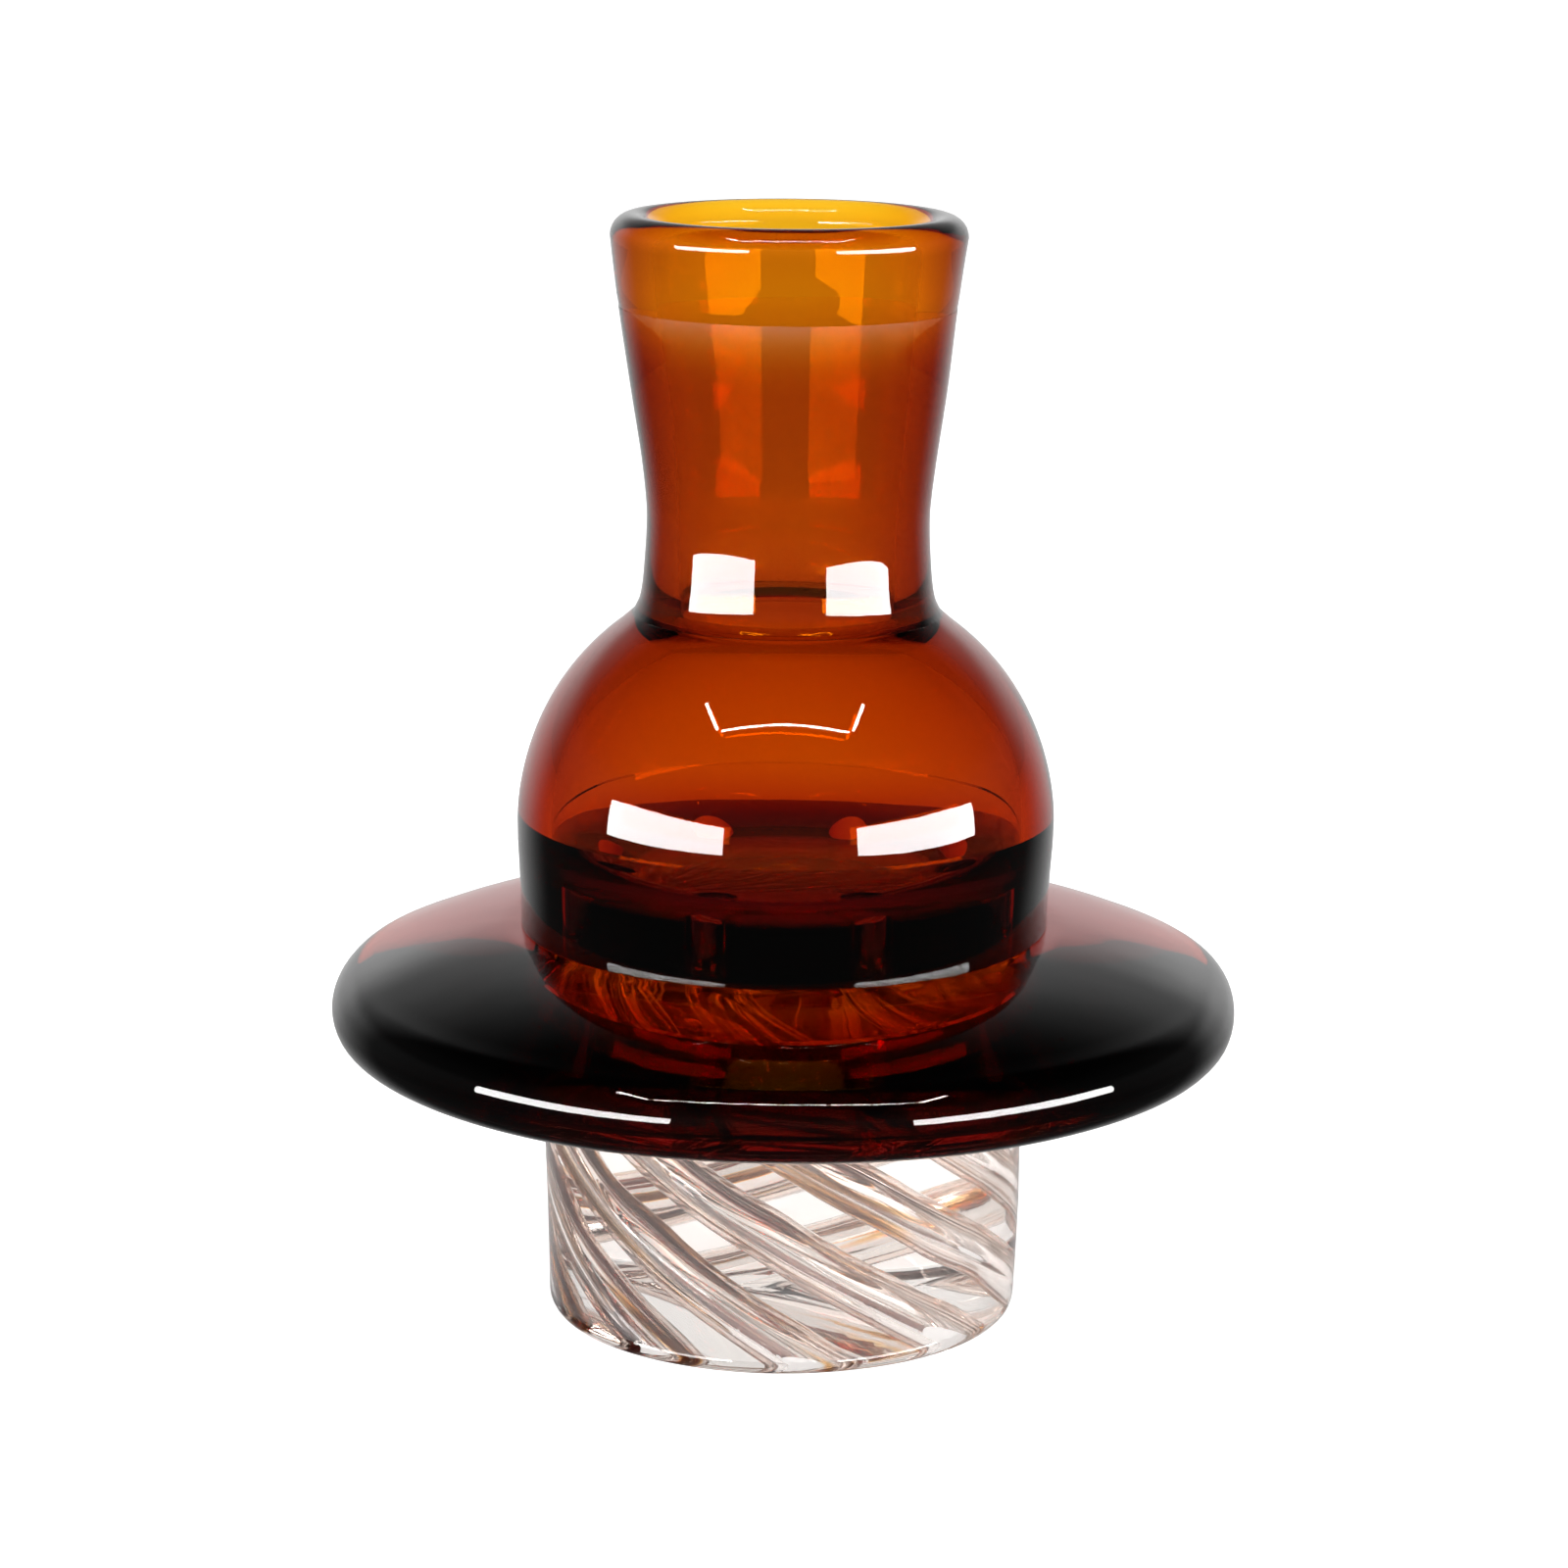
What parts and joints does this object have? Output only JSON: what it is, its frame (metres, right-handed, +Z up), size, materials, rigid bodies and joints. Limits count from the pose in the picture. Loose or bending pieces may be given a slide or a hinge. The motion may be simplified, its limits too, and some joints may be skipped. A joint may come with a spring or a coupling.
{
  "type": "glass vortex airflow cap",
  "caption": "Lampworked glass cap: an open flared amber neck and blown bulb over a wide round brim, with a clear tip whose twisted air tubes swirl the air drawn through it.",
  "frame": {"origin": "centre of the tip's flat foot, the lowest point of the cap", "axes": "+Z up along the cap's turning axis, from the foot to the lip; +X to the right and +Y away, seen from the front"},
  "size_m": [0.035, 0.035, 0.0425],
  "materials": {
    "amber_glass": "fire-polished, glossy",
    "clear_glass": "fire-polished, glossy"
  },
  "bodies": {
    "root": {"neck_tube": "amber_glass", "bulb_shell": "amber_glass", "brim_disc": "amber_glass", "tip_sleeve": "clear_glass", "tip_core": "clear_glass", "air_tube_1": "clear_glass", "air_tube_2": "clear_glass", "air_tube_3": "clear_glass", "air_tube_4": "clear_glass", "air_tube_5": "clear_glass", "air_tube_6": "clear_glass", "air_tube_7": "clear_glass", "air_tube_8": "clear_glass"}
  },
  "joints": []
}
